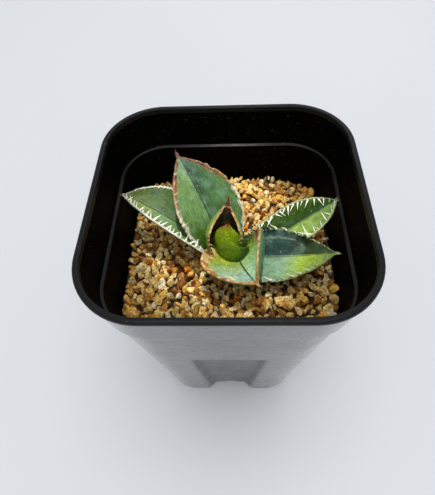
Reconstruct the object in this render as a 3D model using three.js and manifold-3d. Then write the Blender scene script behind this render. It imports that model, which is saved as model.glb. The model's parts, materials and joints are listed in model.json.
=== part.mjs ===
// A young agave growing in a deep square nursery pot filled with fine mineral grit.
// Millimetres, +Z up. The origin is the middle of the pot's footprint, on the surface it stands on.
// +X is to the right and +Y is away from the viewer. Nothing here moves: the plant rests in its grit.

import * as THREE from 'three';
import { mergeVertices } from 'three/addons/utils/BufferGeometryUtils.js';
import Module from 'manifold-3d';

const wasm = await Module();
wasm.setup();

// ---- Driving dimensions: the pot -------------------------------------------------------------

const potHeight = 115;
const rimWidth = 90;
const rimRadius = 21.5;
const beadHeight = 2;
const beadProud = 0.8;
const beadRound = 0.5;
const wall = 1.2;
const stepSlope = 0.3; // height over which a moulded step runs out, so that it has draft

const collarDepth = 16.7; // rim down to the inner ledge
const collarDraft = 5; // the collar's foot is this much narrower than the rim
const collarRadius = 19.5;
const ledgeWidth = 1.4; // how far the inner ledge steps in

const footWidth = 60; // outside, at the base
const footRadius = 13;

const recessTop = 63.5; // height of the step where a side recess ends
const recessWidthTop = 32;
const recessWidthFoot = 23;
const recessDepthTop = 2;
const recessDepthFoot = 3.3;
const recessFlank = 5; // length of the curved flank between a corner foot and the panel

const floorThickness = 1.6;
const floorRise = 2; // the middle of the floor stands this much above the corner feet
const floorRiseWidth = 34;
const floorRiseRadius = 6;
const drainCentre = 8;
const drainHole = 5;
const drainHoles = 8;
const drainRing = 11; // radius of the ring of drain holes
const notchWidth = 5; // drain notch at the foot of each recess
const notchHeight = 2.6;
const notchReach = 7; // from the panel in under the grit

// ---- Driving dimensions: the grit and the plant ----------------------------------------------

const headspace = 30; // rim down to the grit beside the plant
const gritLeanRight = 1.6; // the bed is heaped a little to the right at the front
const gritFallBack = 4; // and falls away behind the plant
const heapRise = 3.2; // a low heap at the back
const heapPlace = [0.34, 0.9]; // as shares of the way to the right and back walls
const heapRadius = 12;
const dishDepth = 2.6; // hollow under the leaves
const dishRadius = 9;

const gap = 0.3; // left between touching pieces
const crownPlace = [1, -5]; // where the stem stands
const stemRadius = 2.6;
const stemAbove = 4.2; // top of the stem above the grit
const stemBelow = 9;
const rootLength = 34;
const rootRadius = 1.1;
const rootCount = 5;
const rootWander = 0.6;
const drawnReach = 40.1; // how far the longest leaf and its spine, as drawn, reach from the pot's middle
const lowestSpine = 15; // height of the lowest spine above the grit
const spineClearance = 1.4; // between the longest leaf's spine and the collar
const openDepth = 5; // space kept free above an open blade

const marginThickness = 0.8;
const tipThickness = 1;
const cornerSteps = 5;
const beyond = 6; // how far a cutting shape runs past what it cuts

// ---- Outlines, lofts and solids --------------------------------------------------------------

const rad = THREE.MathUtils.degToRad;
const mix = THREE.MathUtils.lerp;

function direction(heading, rise) {
  const flat = Math.cos(rise);
  return new THREE.Vector3(flat * Math.cos(heading), flat * Math.sin(heading), Math.sin(rise));
}

function outline(half, radius) {
  const points = [];
  for (let corner = 0; corner < 4; corner += 1) {
    const turn = corner * Math.PI / 2;
    const middle = new THREE.Vector2(half - radius, half - radius).rotateAround(new THREE.Vector2(), turn);
    const arc = new THREE.EllipseCurve(middle.x, middle.y, radius, radius, turn, turn + Math.PI / 2);
    points.push(...arc.getPoints(cornerSteps));
  }
  return points;
}

// Joins equal-length rings of points into one closed mesh with flat ends.
function loft(rings) {
  const count = rings[0].length;
  const positions = rings.flat().flatMap((point) => [point.x, point.y, point.z]);
  const faces = [];
  for (let row = 0; row + 1 < rings.length; row += 1) {
    for (let i = 0; i < count; i += 1) {
      const a = row * count + i;
      const b = row * count + (i + 1) % count;
      faces.push(a, b, b + count, a, b + count, a + count);
    }
  }
  const cap = THREE.ShapeUtils.triangulateShape(rings[0].map((p) => new THREE.Vector2(p.x, p.y)), []);
  const last = (rings.length - 1) * count;
  for (const [a, b, c] of cap) {
    faces.push(a, c, b, last + a, last + b, last + c);
  }
  return meshOf(positions, faces);
}

function meshOf(positions, faces) {
  const geometry = new THREE.BufferGeometry();
  geometry.setAttribute('position', new THREE.Float32BufferAttribute(positions, 3));
  geometry.setIndex(faces);
  return geometry;
}

function solid(geometry) {
  const bare = geometry.clone();
  bare.deleteAttribute('normal');
  bare.deleteAttribute('uv');
  const merged = mergeVertices(bare, 1e-5);
  return new wasm.Manifold(new wasm.Mesh({
    numProp: 3,
    vertProperties: new Float32Array(merged.attributes.position.array),
    triVerts: new Uint32Array(merged.index.array),
  }));
}

function geometryOf(body) {
  const { vertProperties, triVerts, numProp } = body.getMesh();
  const positions = [];
  for (let i = 0; i < vertProperties.length; i += numProp) {
    positions.push(vertProperties[i], vertProperties[i + 1], vertProperties[i + 2]);
  }
  const geometry = meshOf(positions, [...triVerts]);
  geometry.computeVertexNormals();
  return geometry;
}

function level(half, radius, z) {
  return outline(half, radius).map((p) => new THREE.Vector3(p.x, p.y, z));
}

function squareLoft(stations) {
  return solid(loft(stations.map(({ half, radius, z }) => level(half, radius, z))));
}

function upright(radius, low, high, x, y) {
  const cylinder = new THREE.CylinderGeometry(radius, radius, high - low, 14);
  cylinder.rotateX(Math.PI / 2);
  cylinder.translate(x, y, (low + high) / 2);
  return solid(cylinder);
}

// ---- Pot: one moulding, with a bead, a collar, a tapered body, side recesses and drain holes ---

const ledgeHeight = potHeight - collarDepth;
const collarWidth = rimWidth - collarDraft;
const bodyTopHalf = collarWidth / 2 - ledgeWidth;
const bodyTopRadius = collarRadius - ledgeWidth - 1;
const rimHalf = rimWidth / 2;

// Outer half width and corner radius of the body below the ledge.
function bodyAt(z) {
  const t = z / ledgeHeight;
  return { half: mix(footWidth / 2, bodyTopHalf, t), radius: mix(footRadius, bodyTopRadius, t), z };
}

function collarAt(z) {
  const t = (z - ledgeHeight) / (potHeight - beadHeight - ledgeHeight);
  return {
    half: mix(collarWidth / 2, rimHalf - beadProud, t),
    radius: mix(collarRadius, rimRadius - beadProud, t),
    z,
  };
}

function inset(station, amount) {
  return { half: station.half - amount, radius: station.radius - amount, z: station.z };
}

// Inside half width at a height, which is what the plant has to stay within.
function insideHalf(z) {
  return (z < ledgeHeight ? bodyAt(z) : collarAt(z)).half - wall;
}

// A prism that presses the middle of one side inwards. Its flanks are S-curves, and grown by the wall
// (or by the wall and the gap) it shapes the inside of the same side.
function recess(side, grown) {
  const flankSteps = 5;
  const overlap = 0.3;
  const ring = (z, width, depth, face) => {
    const half = width / 2 + grown;
    const points = [];
    for (let i = 0; i <= flankSteps; i += 1) {
      const s = i / flankSteps;
      const press = grown - overlap + (depth + overlap) * THREE.MathUtils.smoothstep(s, 0, 1);
      points.push([half - recessFlank * s, face - press]);
    }
    const mirrored = points.map(([t, y]) => [-t, y]).reverse();
    const outside = face + beyond;
    const closed = [...points, ...mirrored, [-half, outside], [half, outside]];
    return closed.map(([t, y]) => new THREE.Vector3(-t, y, z));
  };
  const top = recessTop + grown;
  const widthAt = (z) => mix(recessWidthFoot, recessWidthTop, z / recessTop);
  const depthAt = (z) => mix(recessDepthFoot, recessDepthTop, z / recessTop);
  const rings = [-beyond, top].map((z) => ring(z, widthAt(z), depthAt(z), bodyAt(z).half));
  return solid(loft(rings).rotateZ(side * Math.PI / 2));
}

function pressedIn(body, grown) {
  let pressed = body;
  for (let side = 0; side < 4; side += 1) {
    pressed = pressed.subtract(recess(side, grown));
  }
  return pressed;
}

function makePot() {
  const beadFoot = potHeight - beadHeight;
  const bead = { half: rimHalf, radius: rimRadius };
  const outside = squareLoft([
    bodyAt(0),
    bodyAt(ledgeHeight - wall),
    { ...collarAt(ledgeHeight), z: ledgeHeight - wall + stepSlope },
    collarAt(beadFoot),
    { ...bead, z: beadFoot + stepSlope },
    { ...bead, z: potHeight - beadRound },
    inset({ ...bead, z: potHeight }, beadRound),
  ]);
  const inside = squareLoft([
    inset(bodyAt(floorThickness), wall),
    inset(bodyAt(ledgeHeight), wall),
    { ...inset(collarAt(ledgeHeight), wall), z: ledgeHeight + stepSlope },
    inset(collarAt(beadFoot), wall),
    { ...inset(collarAt(beadFoot), wall), z: potHeight + beyond },
  ]);
  const raisedHalf = floorRiseWidth / 2 + floorThickness;
  const raisedTop = floorThickness + floorRise;
  const raised = squareLoft([-beyond, raisedTop].map((z) => (
    { half: raisedHalf, radius: floorRiseRadius + floorThickness, z })));
  const under = squareLoft([-beyond, floorRise].map((z) => (
    { half: floorRiseWidth / 2, radius: floorRiseRadius, z })));

  let pot = pressedIn(outside, 0).subtract(pressedIn(inside, wall).subtract(raised)).subtract(under);
  pot = pot.subtract(upright(drainCentre / 2, -beyond, raisedTop + beyond, 0, 0));
  for (let i = 0; i < drainHoles; i += 1) {
    const angle = (i + 0.5) * 2 * Math.PI / drainHoles;
    const [x, y] = [drainRing * Math.cos(angle), drainRing * Math.sin(angle)];
    pot = pot.subtract(upright(drainHole / 2, -beyond, raisedTop + beyond, x, y));
  }
  for (let side = 0; side < 4; side += 1) {
    const notch = new THREE.BoxGeometry(notchWidth, notchReach + beyond, notchHeight + beyond);
    const panel = footWidth / 2 - recessDepthFoot;
    notch.translate(0, panel + (beyond - notchReach) / 2, (notchHeight - beyond) / 2);
    pot = pot.subtract(solid(notch.rotateZ(side * Math.PI / 2)));
  }
  return pot;
}

// ---- Stem and roots: grown as one, under the leaves and in the grit ----------------------------

const gritLevel = potHeight - headspace;

// The rosette grows to fill the pot's mouth, short of the wall by the clearance.
const plantScale = (insideHalf(gritLevel + lowestSpine) - spineClearance) / drawnReach;
const crown = new THREE.Vector3(crownPlace[0], crownPlace[1], 0).multiplyScalar(plantScale).setZ(gritLevel);

function makeStem(grown) {
  const radius = stemRadius * plantScale;
  const top = gritLevel + stemAbove * plantScale + grown;
  const foot = gritLevel - stemBelow - grown;
  const shape = [
    [0, foot], [radius * 0.5 + grown, foot], [radius * 0.8 + grown, mix(foot, gritLevel, 0.3)],
    [radius + grown, mix(foot, gritLevel, 0.7)], [radius + grown, mix(gritLevel, top, 0.6)],
    [radius * 0.6 + grown, mix(gritLevel, top, 0.9)], [0, top],
  ].map(([r, z]) => new THREE.Vector2(r, z));
  const lathe = new THREE.LatheGeometry(shape, 12).rotateX(Math.PI / 2);
  let stem = solid(lathe.translate(crown.x, crown.y, 0));
  for (let i = 0; i < rootCount; i += 1) {
    stem = stem.add(makeRoot(i, grown));
  }
  return stem;
}

// A root runs out from the stem's foot, turns down through the grit and thins towards its end.
function makeRoot(index, grown) {
  const angle = rad(20 + index * 360 / rootCount);
  const out = direction(angle, 0);
  const side = direction(angle + Math.PI / 2, 0);
  const drop = rootLength * (index % 2 ? 1 : 0.8);
  const start = crown.clone().setZ(mix(gritLevel, gritLevel - stemBelow, 0.67));
  const bends = [[0, 0], [3.5, 0.08], [7, 0.35], [10, 0.7], [11, 1]];
  const route = new THREE.CatmullRomCurve3(bends.map(([run, share], k) => (
    start.clone()
      .addScaledVector(out, run)
      .addScaledVector(side, rootWander * (k % 2 ? 1 : -1))
      .setZ(start.z - drop * share))));
  const steps = 9;
  const sides = 6;
  const frames = route.computeFrenetFrames(steps, false);
  const rings = [];
  for (let i = 0; i <= steps; i += 1) {
    const t = i / steps;
    const radius = rootRadius * mix(1, 0.35, t) + grown;
    const middle = route.getPointAt(t);
    if (i === steps) middle.addScaledVector(frames.tangents[i], grown);
    rings.push(Array.from({ length: sides }, (_, k) => {
      const a = k * 2 * Math.PI / sides;
      return middle.clone()
        .addScaledVector(frames.normals[i], radius * Math.cos(a))
        .addScaledVector(frames.binormals[i], radius * Math.sin(a));
    }));
  }
  return solid(tube(rings));
}

// Closes a tube of rings that turn in space, with a fan at each end.
function tube(rings) {
  const count = rings[0].length;
  const positions = rings.flat().flatMap((point) => [point.x, point.y, point.z]);
  const faces = [];
  for (let row = 0; row + 1 < rings.length; row += 1) {
    for (let i = 0; i < count; i += 1) {
      const a = row * count + i;
      const b = row * count + (i + 1) % count;
      faces.push(a, b, b + count, a, b + count, a + count);
    }
  }
  const last = (rings.length - 1) * count;
  for (let i = 1; i + 1 < count; i += 1) {
    faces.push(0, i + 1, i, last, last + i, last + i + 1);
  }
  return meshOf(positions, faces);
}

// ---- Leaves: broad, boat-shaped blades, each ending in a spine --------------------------------

// Every leaf is drawn from its midrib, which sets out from the crown at a heading (degrees from +X,
// seen from above) and rises at an angle that changes along its length. Pairs are left and right of
// the midrib, looking from the foot to the tip. Foot places and heights are from the crown.
const leaves = {
  leaf_centre: {
    foot: [1.2, -3.4, 3.4], heading: -63, turn: -3, rise: [90, 131], length: 15, roll: [-1, -6],
    halfWidth: [8.3, 7.2], fold: [12, 18], curl: [55, 62], widest: 0.39, footShare: 0.7, taper: [2.1, 2.1],
    thickness: 1.8, spine: { length: 1.2, heading: 117, rise: 40 }, colour: 0x8fb536,
  },
  leaf_inner: {
    foot: [-2.2, 1.4, 4.6], heading: 84, turn: -15, rise: [70, 69], length: 17.6, roll: [-1, 4],
    halfWidth: [12.2, 11], fold: [21, 5], curl: [100, 81], widest: 0.52, footShare: 0.7, taper: [2, 2],
    thickness: 1.8, spine: { length: 3.8, heading: 75, rise: 76 }, colour: 0x6f9440,
  },
  leaf_front: {
    foot: [2.3, -1.2, 3.2], heading: -80, turn: 16, rise: [29, 32], length: 23.5, roll: [-2, 16],
    halfWidth: [16.4, 16.6], fold: [18, 9], curl: [71, 49], widest: 0.48, footShare: 0.61, taper: [2.8, 2.2],
    open: true, thickness: 3, spine: { length: 2.1, heading: -53, rise: 25 }, colour: 0x8fb3a0,
  },
  leaf_back: {
    foot: [-3, 2.1, 2.9], heading: 119, turn: 8, rise: [48, 32], length: 37, roll: [-4, 3],
    halfWidth: [13.4, 13.2], fold: [17.5, 21], curl: [20, 22], widest: 0.43, footShare: 0.63, taper: [2.6, 1.9],
    open: true, thickness: 3.4, spine: { length: 3.9, heading: 116, rise: 48 }, colour: 0x6d9480,
  },
  leaf_right_front: {
    foot: [2.4, -1.2, 2], heading: -18.5, turn: 15, rise: [21, 17], length: 35.5, roll: [2, 5],
    halfWidth: [10.4, 11.2], fold: [13, 6.5], curl: [18, 13], widest: 0.36, footShare: 0.71, taper: [1.9, 1.9],
    open: true, thickness: 3, spine: { length: 2.9, heading: -35, rise: 27 }, colour: 0x5f8f80,
  },
  leaf_right_back: {
    foot: [4.4, -0.8, 2.6], heading: 15, turn: 11.5, rise: [24, 23.5], length: 38.5, roll: [4, 8],
    halfWidth: [8.2, 9.5], fold: [33.5, 21.5], curl: [34, 25], widest: 0.59, footShare: 0.64, taper: [2.05, 2.05],
    thickness: 3.2, spine: { length: 2.9, heading: 20, rise: 82 }, colour: 0x6b8f52,
  },
  leaf_left: {
    foot: [-4.1, 0.7, 1.9], heading: 155, turn: 5.5, rise: [35, 15], length: 40.9, roll: [-2, 4],
    halfWidth: [10.5, 10.3], fold: [24.5, 24.5], curl: [30, 30], widest: 0.52, footShare: 0.71, taper: [2.18, 2.18],
    thickness: 3.2, spine: { length: 2.2, heading: 197, rise: 20 }, colour: 0x6c8a66,
  },
};
function shareOfWidth(leaf, side, u) {
  if (u < leaf.widest) return mix(leaf.footShare, 1, Math.sin(Math.PI / 2 * u / leaf.widest));
  return 1 - ((u - leaf.widest) / (1 - leaf.widest)) ** leaf.taper[side];
}

// The midrib's points with, at each, the direction along it, across it and up out of the blade.
function midrib(leaf, rows) {
  const stations = [];
  const place = new THREE.Vector3(...leaf.foot).multiplyScalar(plantScale).add(crown);
  const step = leaf.length * plantScale / rows;
  for (let row = 0; row <= rows; row += 1) {
    const u = row / rows;
    const axes = (share) => {
      const heading = rad(leaf.heading + leaf.turn * share);
      const rise = rad(mix(...leaf.rise, share));
      const roll = rad(mix(...leaf.roll, share));
      const along = direction(heading, rise);
      const across = direction(heading + Math.PI / 2, 0).applyAxisAngle(along, roll);
      return { along, across, up: along.clone().cross(across) };
    };
    if (row > 0) place.addScaledVector(axes(u - 0.5 / rows).along, step);
    stations.push({ u, place: place.clone(), ...axes(u) });
  }
  return stations;
}

// One closed blade. Grown, it is the space that an older leaf has to stay out of, which also takes in
// a depth above an open blade, because an older leaf passes under it and never up through it.
function makeLeaf(leaf, grown, above = 0) {
  const rows = 12;
  const half = 4;
  const tipHalf = 0.45 * plantScale;
  const softCurl = 3 * plantScale; // narrower than this, the blade's curl fades
  const stations = midrib(leaf, rows);
  const rings = stations.map(({ u, place, along, across, up }, row) => {
    const thick = mix(leaf.thickness * plantScale, tipThickness * plantScale, u);
    const slide = row === 0 ? -grown : 0;
    const start = place.clone().addScaledVector(along, slide);
    const face = [];
    const back = [];
    for (const side of [0, 1]) {
      const sign = side === 0 ? 1 : -1;
      const width = Math.max(leaf.halfWidth[side] * plantScale * shareOfWidth(leaf, side, u), tipHalf);
      const curl = leaf.curl[side] * Math.min(1, width / softCurl);
      const top = new THREE.Vector2();
      for (let k = 0; k <= half; k += 1) {
        const v = k / half;
        const angle = rad(leaf.fold[side] + curl * v);
        if (k > 0) {
          const chord = rad(leaf.fold[side] + curl * (v - 0.5 / half));
          const run = width / half;
          top.add(new THREE.Vector2(run * Math.cos(chord), run * Math.sin(chord)));
        }
        const out = k === half ? grown : 0;
        const edge = marginThickness * plantScale;
        const depth = mix(thick, edge, v * v);
        const lean = Math.min(1, 2 * v);
        const down = new THREE.Vector2(Math.sin(angle * lean), -Math.cos(angle * lean));
        const spread = new THREE.Vector2(Math.cos(angle), Math.sin(angle)).multiplyScalar(out);
        const upper = top.clone().add(spread).addScaledVector(down, -grown - above);
        const lower = top.clone().add(spread).addScaledVector(down, depth + grown);
        for (const [list, point] of [[face, upper], [back, lower]]) {
          const at = start.clone().addScaledVector(across, sign * point.x).addScaledVector(up, point.y);
          if (k > 0 || side === 0) list.push({ order: sign * k, at });
        }
      }
    }
    const byOrder = (a, b) => a.order - b.order;
    return {
      face: face.sort(byOrder).map((p) => p.at),
      back: back.sort(byOrder).map((p) => p.at),
    };
  });

  const across = 2 * half + 1;
  const last = across - 1;
  const positions = [];
  for (const ring of rings) {
    for (const point of [...ring.face, ...ring.back]) positions.push(point.x, point.y, point.z);
  }
  const faceAt = (row, k) => row * 2 * across + k;
  const backAt = (row, k) => faceAt(row, k) + across;
  const faces = [];
  const quad = (a, b, c, d) => faces.push(a, b, c, a, c, d);
  for (let k = 0; k + 1 < across; k += 1) {
    for (let row = 0; row < rows; row += 1) {
      quad(faceAt(row, k), faceAt(row + 1, k), faceAt(row + 1, k + 1), faceAt(row, k + 1));
      quad(backAt(row, k), backAt(row, k + 1), backAt(row + 1, k + 1), backAt(row + 1, k));
    }
    quad(faceAt(0, k), faceAt(0, k + 1), backAt(0, k + 1), backAt(0, k));
  }
  for (let row = 0; row < rows; row += 1) {
    quad(faceAt(row, 0), backAt(row, 0), backAt(row + 1, 0), faceAt(row + 1, 0));
    quad(faceAt(row, last), faceAt(row + 1, last), backAt(row + 1, last), backAt(row, last));
  }

  // The spine: the last ring runs out to a point.
  const tip = stations[rows].place;
  const pointed = direction(rad(leaf.spine.heading), rad(leaf.spine.rise));
  const end = tip.clone().addScaledVector(pointed, leaf.spine.length * plantScale + grown);
  const apex = positions.length / 3;
  positions.push(end.x, end.y, end.z);
  for (let k = 0; k + 1 < across; k += 1) {
    faces.push(faceAt(rows, k), apex, faceAt(rows, k + 1));
    faces.push(backAt(rows, k), backAt(rows, k + 1), apex);
  }
  faces.push(faceAt(rows, 0), backAt(rows, 0), apex);
  faces.push(faceAt(rows, last), apex, backAt(rows, last));
  return solid(meshOf(positions, faces));
}

// ---- Grit: one bed that fills the pot and follows its walls -----------------------------------

function gritHeight(x, y, half) {
  const [heapX, heapY] = heapPlace.map((share) => share * half);
  const heap = Math.exp(-((x - heapX) ** 2 + (y - heapY) ** 2) / heapRadius ** 2);
  const dish = Math.exp(-((x - crown.x) ** 2 + (y - crown.y) ** 2) / dishRadius ** 2);
  const back = THREE.MathUtils.clamp(y / half, 0, 1);
  const lean = gritLeanRight * x / half * (1 - 2 * back);
  return gritLevel + lean - gritFallBack * back + heapRise * heap - dishDepth * dish;
}

function makeGrit() {
  const fit = wall + gap;
  const deep = floorThickness + gap;
  const fill = squareLoft([inset(bodyAt(deep), fit), inset(bodyAt(ledgeHeight), fit)]);
  const raised = squareLoft([-beyond, deep + floorRise].map((z) => (
    { half: floorRiseWidth / 2 + floorThickness + gap, radius: floorRiseRadius + floorThickness + gap, z })));
  const half = insideHalf(ledgeHeight) + 1;
  const cells = 12;
  const box = new THREE.BoxGeometry(2 * half, 2 * half, 1, cells, cells, 1);
  const points = box.attributes.position;
  for (let i = 0; i < points.count; i += 1) {
    const top = points.getZ(i) > 0;
    points.setZ(i, top ? gritHeight(points.getX(i), points.getY(i), half) : 0);
  }
  return pressedIn(fill, fit).subtract(raised).intersect(solid(box));
}

// ---- Assembly ---------------------------------------------------------------------------------

const plant = new THREE.Group();

function addPiece(name, body, look) {
  const material = new THREE.MeshStandardMaterial({ side: THREE.DoubleSide, ...look });
  const piece = new THREE.Mesh(geometryOf(body), material);
  piece.name = name;
  plant.add(piece);
}

addPiece('pot', makePot(), { color: 0x16171a, roughness: 0.35, metalness: 0 });

const stem = makeStem(0);
addPiece('stem_and_roots', stem, { color: 0xc9b27c, roughness: 0.8, metalness: 0 });

// Leaves are fitted from the middle of the rosette outwards: each one keeps clear of the stem and of
// every leaf that grew after it.
let taken = makeStem(gap);
for (const [name, leaf] of Object.entries(leaves)) {
  addPiece(name, makeLeaf(leaf, 0).subtract(taken), { color: leaf.colour, roughness: 0.5, metalness: 0 });
  taken = taken.add(makeLeaf(leaf, gap, leaf.open ? openDepth * plantScale : 0));
}

addPiece('grit', makeGrit().subtract(taken), { color: 0xb58a55, roughness: 0.9, metalness: 0 });

export default plant;
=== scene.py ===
# A young agave in a deep square nursery pot of fine mineral grit: its looks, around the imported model.
# Metres, +Z up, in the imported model's own frame. Shapes are worked out in millimetres, as the maker
# of a pot and the grower of a plant would measure them, and become metres when a mesh is made.

import json
import math

import bmesh
import bpy
import numpy as np
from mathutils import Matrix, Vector
from mathutils.bvhtree import BVHTree

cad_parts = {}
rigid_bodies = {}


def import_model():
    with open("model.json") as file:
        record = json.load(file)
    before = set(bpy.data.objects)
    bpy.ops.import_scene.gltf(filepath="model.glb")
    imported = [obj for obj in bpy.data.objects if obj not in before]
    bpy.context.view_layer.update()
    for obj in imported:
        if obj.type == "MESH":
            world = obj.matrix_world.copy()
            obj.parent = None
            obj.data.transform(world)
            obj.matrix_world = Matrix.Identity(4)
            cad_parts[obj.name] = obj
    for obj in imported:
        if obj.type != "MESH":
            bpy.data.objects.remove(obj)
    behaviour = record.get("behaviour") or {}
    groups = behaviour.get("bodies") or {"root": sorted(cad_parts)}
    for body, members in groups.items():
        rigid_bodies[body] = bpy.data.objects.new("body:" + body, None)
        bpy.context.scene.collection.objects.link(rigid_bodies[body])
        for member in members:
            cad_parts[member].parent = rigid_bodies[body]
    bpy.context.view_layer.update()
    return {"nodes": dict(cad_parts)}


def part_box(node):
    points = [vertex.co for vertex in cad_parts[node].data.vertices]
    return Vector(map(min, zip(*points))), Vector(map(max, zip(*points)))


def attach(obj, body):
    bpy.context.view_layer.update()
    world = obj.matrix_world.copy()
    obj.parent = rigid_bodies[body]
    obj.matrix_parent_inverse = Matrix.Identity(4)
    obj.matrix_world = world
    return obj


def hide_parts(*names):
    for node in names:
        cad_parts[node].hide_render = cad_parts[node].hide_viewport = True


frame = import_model()
pot_low, pot_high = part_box("pot")
MM = 0.001

# ---- Camera ----
# A hand-held view from above and in front, close enough that the pot's mouth spreads wider than its
# foot, with a slight tilt of the hand.

camera = bpy.data.objects.new("camera", bpy.data.cameras.new("camera"))
bpy.context.scene.collection.objects.link(camera)
bpy.context.scene.camera = camera
camera.data.lens = 29.74
camera.data.clip_start = 0.005
camera.location = (0.00203, -0.088, pot_high.z + 0.09861)
camera.rotation_euler = (math.radians(34.17), math.radians(2.149), math.radians(0.772))

# ---- Pot ----
# One injection moulding in black polypropylene: a tapered body with a pressed-in panel on each side,
# so that the corners stand as feet, a wider collar above an inner ledge, and a rolled bead at the rim.
# Outside it has picked up dust and handling marks; inside it is clean. Painted shade darkens the inside, rim
# and panels.

pot_height = (pot_high.z - pot_low.z) / MM
rim_half = (pot_high.x - pot_low.x) / 2 / MM
wall = 1.2
collar_depth = 16.7
ledge_height = pot_height - collar_depth
foot_half, foot_radius = 30, 13
body_top_half, body_top_radius = rim_half - 3.9, 17.1
collar_radius, rim_radius, collar_draft = 19.5, 21.5, 2.5
bead_foot, bead_proud = pot_height - 2, 0.8
recess_top = 63.5
recess_half_foot, recess_half_top = 11.5, 16
recess_depth_foot, recess_depth_top = 3.3, 2
recess_flank, recess_lip = 5, 0.3
floor_half, floor_radius, floor_rise, floor_thickness = 17, 6, 2, 1.6
drain_holes, drain_ring, drain_diameter, drain_centre = 8, 11, 5, 8
notch_width, notch_height, notch_reach = 5, 2.6, 7


def mix(a, b, share):
    return a + (b - a) * share


def smooth(share):
    share = np.clip(share, 0, 1)
    return share * share * (3 - 2 * share)


def body_at(z):
    share = z / ledge_height
    return mix(foot_half, body_top_half, share), mix(foot_radius, body_top_radius, share)


def collar_at(z):
    share = (z - ledge_height) / (bead_foot - ledge_height)
    return (mix(rim_half - collar_draft, rim_half - bead_proud, share),
            mix(collar_radius, rim_radius - bead_proud, share))


def quarter_turn(side, x, y):
    """Turns a place by a number of quarter turns about the pot's middle."""
    c, s = round(math.cos(side * math.pi / 2)), round(math.sin(side * math.pi / 2))
    return c * x - s * y, s * x + c * y


def square_turn(half, radius, z, press=0.0, grown=0.0):
    """One turn round the pot, anticlockwise from above, each side pressed in by a share of its recess."""
    straight = half - radius
    up = min(z / recess_top, 1.5)
    width = min(mix(recess_half_foot, recess_half_top, up) + grown, straight * 0.92)
    flank = min(recess_flank, width * 0.8)
    depth = mix(recess_depth_foot, recess_depth_top, min(up, 1))
    inner = width - flank
    run = [straight, (straight + width) / 2] + [width - flank * k / 8 for k in range(9)]
    run += [inner * 2 / 3, inner / 3, 0]
    run = np.array([-t for t in run] + run[-2:0:-1])
    dip = press * np.maximum(0, (depth + recess_lip) * smooth((width - np.abs(run)) / flank) - recess_lip)
    arc = np.radians(np.linspace(-90, 0, 17)[:-1])
    side_x = np.concatenate([run, straight + radius * np.cos(arc)])
    side_y = np.concatenate([-half + dip, -straight + radius * np.sin(arc)])
    turn = []
    for side in range(4):
        turn += [(*quarter_turn(side, x, y), z) for x, y in zip(side_x, side_y)]
    return turn


def mesh_of(name, points, faces):
    """A mesh from points in millimetres."""
    mesh = bpy.data.meshes.new(name)
    mesh.from_pydata([tuple(c * MM for c in p) for p in points], [], faces)
    mesh.validate()
    return mesh


def piece_of(name, mesh):
    piece = bpy.data.objects.new(name, mesh)
    bpy.context.scene.collection.objects.link(piece)
    return piece


def loft(turns):
    """Faces between equal turns of points, with a fan that closes each end."""
    count = len(turns[0])
    points = [p for turn in turns for p in turn]
    faces = []
    for row in range(len(turns) - 1):
        for i in range(count):
            a, b = row * count + i, row * count + (i + 1) % count
            faces.append((a, b, b + count, a + count))
    for row, flip in ((0, True), (len(turns) - 1, False)):
        middle = len(points)
        points.append(tuple(np.mean(turns[row], axis=0)))
        for i in range(count):
            a, b = row * count + i, row * count + (i + 1) % count
            faces.append((b, a, middle) if flip else (a, b, middle))
    return points, faces


def mesh_from(work, name):
    mesh = bpy.data.meshes.new(name)
    work.to_mesh(mesh)
    work.free()
    return mesh


def outward(mesh):
    """Turns every face of a closed mesh outwards."""
    work = bmesh.new()
    work.from_mesh(mesh)
    bmesh.ops.recalc_face_normals(work, faces=work.faces)
    work.to_mesh(mesh)
    work.free()


def finished_mesh(piece):
    """Makes what a piece's modifiers give its own plain mesh."""
    made = bpy.data.meshes.new_from_object(piece.evaluated_get(bpy.context.evaluated_depsgraph_get()))
    piece.modifiers.clear()
    piece.data = made


def cut_away(piece, cutters):
    for cutter in cutters:
        knife = piece.modifiers.new("cut", "BOOLEAN")
        knife.object, knife.solver = cutter, "EXACT"
    finished_mesh(piece)
    for cutter in cutters:
        bpy.data.objects.remove(cutter)


def node_in(tree, kind, inputs=None, **settings):
    """Adds a node; an input may be a value or another node's output."""
    node = tree.nodes.new(kind)
    for name, value in settings.items():
        setattr(node, name, value)
    for name, value in (inputs or {}).items():
        if isinstance(value, bpy.types.NodeSocket):
            tree.links.new(value, node.inputs[name])
        else:
            node.inputs[name].default_value = value
    return node


def finish(name, **sockets):
    """A new material with its uniform values on the shader's own sockets."""
    material = bpy.data.materials.new(name)
    material.use_nodes = True
    tree = material.node_tree
    shader = tree.nodes["Principled BSDF"]
    for socket, value in sockets.items():
        shader.inputs[socket.replace("_", " ")].default_value = value
    return material, tree, shader


def place_coords(tree, stretch=(1, 1, 1)):
    """Object coordinates in millimetres, stretched."""
    coords = node_in(tree, "ShaderNodeTexCoord")
    scale = tuple(1000 * s for s in stretch)
    return node_in(tree, "ShaderNodeMapping", {"Vector": coords.outputs["Object"], "Scale": scale}).outputs[0]


def grain(tree, coords, scale, detail=4, rough=0.6):
    made = node_in(tree, "ShaderNodeTexNoise", {"Vector": coords, "Scale": scale, "Detail": detail,
                                                "Roughness": rough})
    return made.outputs["Fac"]


def between(tree, value, low, high, to_low=0.0, to_high=1.0):
    made = node_in(tree, "ShaderNodeMapRange", {0: value, 1: low, 2: high, 3: to_low, 4: to_high},
                   interpolation_type="SMOOTHSTEP")
    return made.outputs[0]


def tint(tree, share, under, over):
    made = node_in(tree, "ShaderNodeMix", {0: share, 6: under, 7: over}, data_type="RGBA")
    return made.outputs[2]


def brighter(tree, colour, value):
    made = node_in(tree, "ShaderNodeHueSaturation", {"Value": value, "Color": colour})
    return made.outputs[0]


def maths(tree, operation, a, b):
    return node_in(tree, "ShaderNodeMath", {0: a, 1: b}, operation=operation).outputs[0]


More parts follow.
